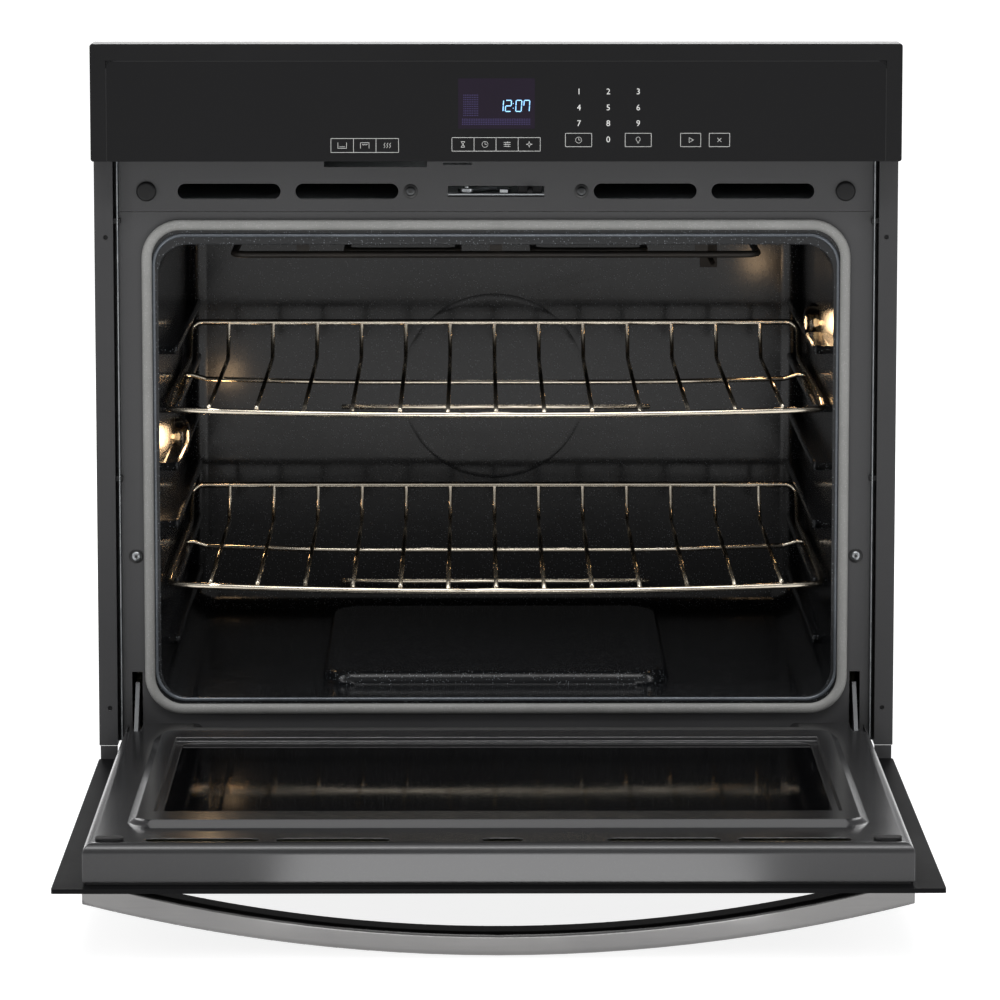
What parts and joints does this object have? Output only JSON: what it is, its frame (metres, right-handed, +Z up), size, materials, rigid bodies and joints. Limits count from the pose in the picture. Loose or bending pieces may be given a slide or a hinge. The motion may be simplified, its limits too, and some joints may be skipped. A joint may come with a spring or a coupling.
{
  "type": "wall oven",
  "caption": "Built-in single electric wall oven with a drop-down door, wire racks, a bowed handle and a glass control panel.",
  "frame": {"origin": "middle of the underside of the base pan, in the plane of the cabinet's front", "axes": "+X to the right seen from the front, +Y back into the cabinet, +Z up"},
  "size_m": [0.756, 1.1728, 0.749],
  "materials": {
    "galvanised_sheet": "spangled zinc sheet",
    "black_paint": "satin",
    "frame_enamel": "satin enamel",
    "bezel_plastic": "fine texture",
    "black_glass": "gloss, printed black at the back",
    "pane_glass": "clear",
    "lamp_glass": "clear",
    "circuit_board": "satin",
    "cavity_enamel": "speckled gloss enamel",
    "liner_enamel": "satin enamel",
    "gasket_braid": "woven glass fibre tube",
    "ceramic": "unglazed",
    "element_sheath": "oxidised",
    "zinc_hardware": "zinc plated",
    "insulation": "glass wool",
    "rack_wire": "bright plated",
    "motor_metal": "satin",
    "handle_steel": "long brushed grain",
    "rubber": "matte"
  },
  "bodies": {
    "chassis": {"base_pan": "galvanised_sheet", "side_panel_left": "galvanised_sheet", "side_panel_right": "galvanised_sheet", "top_cover": "galvanised_sheet", "rear_cover": "galvanised_sheet", "rear_screws": "zinc_hardware", "side_trim_left": "black_paint", "side_trim_right": "black_paint", "bottom_trim": "black_paint", "front_frame": "frame_enamel", "frame_screws": "zinc_hardware", "vent_band": "frame_enamel", "band_screws": "zinc_hardware", "band_buffers": "rubber", "control_bezel": "bezel_plastic", "control_glass": "black_glass", "touch_film": "bezel_plastic", "display_module": "bezel_plastic", "control_board": "circuit_board", "cavity_liner": "cavity_enamel", "door_gasket": "gasket_braid", "lamp_lens_left": "lamp_glass", "lamp_lens_right": "lamp_glass", "lamp_sockets": "ceramic", "lamp_bulbs": "lamp_glass", "broil_element": "element_sheath", "bake_element": "element_sheath", "element_hangers": "zinc_hardware", "bake_tray": "galvanised_sheet", "temperature_sensor": "zinc_hardware", "insulation_blanket": "insulation", "air_duct": "galvanised_sheet", "blower_housing": "galvanised_sheet", "blower_motor": "motor_metal", "latch_bracket": "zinc_hardware", "latch_motor": "motor_metal", "door_switch": "bezel_plastic", "hinge_receiver_left": "zinc_hardware", "hinge_receiver_right": "zinc_hardware", "hinge_arm_left": "zinc_hardware", "hinge_arm_right": "zinc_hardware", "conduit_box": "galvanised_sheet"},
    "door": {"door_liner": "liner_enamel", "door_outer_glass": "black_glass", "door_frame": "black_paint", "door_inner_pane": "pane_glass", "door_middle_pane": "pane_glass", "window_retainer": "galvanised_sheet", "door_insulation": "insulation", "handle_bar": "handle_steel", "handle_screws": "zinc_hardware", "door_buffers": "rubber", "hinge_channel_left": "zinc_hardware", "hinge_channel_right": "zinc_hardware", "hinge_springs": "zinc_hardware"},
    "rack_lower": {"rack_lower": "rack_wire"},
    "rack_upper": {"rack_upper": "rack_wire"},
    "latch_hook": {"latch_hook": "zinc_hardware"},
    "switch_plunger": {"switch_plunger": "bezel_plastic"},
    "blower_wheel": {"blower_wheel": "galvanised_sheet"}
  },
  "joints": [
    {"name": "door_hinge", "type": "hinge", "parent": "chassis", "child": "door", "pos_m": [0, -0.013, 0.053], "axis": [1, 0, 0], "range_deg": [-90, 0], "stiffness_Nm_per_rad": 12, "springref_deg": -90},
    {"name": "rack_lower_slide", "type": "slide", "parent": "chassis", "child": "rack_lower", "axis": [0, -1, 0], "range_m": [0, 0.3]},
    {"name": "rack_upper_slide", "type": "slide", "parent": "chassis", "child": "rack_upper", "axis": [0, -1, 0], "range_m": [0, 0.3]},
    {"name": "latch_pivot", "type": "hinge", "parent": "chassis", "child": "latch_hook", "pos_m": [-0.028, 0.026, 0.5725], "axis": [0, 0, -1], "range_deg": [0, 65]},
    {"name": "plunger_slide", "type": "slide", "parent": "chassis", "child": "switch_plunger", "axis": [0, -1, 0], "range_m": [-0.0054, 0]},
    {"name": "blower_spin", "type": "hinge", "parent": "chassis", "child": "blower_wheel", "pos_m": [0, 0.441, 0.59], "axis": [0, 0, 1], "continuous": true}
  ],
  "couplings": [
    {"joint": "plunger_slide", "follows": "door_hinge", "m_per_rad": 0.003437}
  ]
}
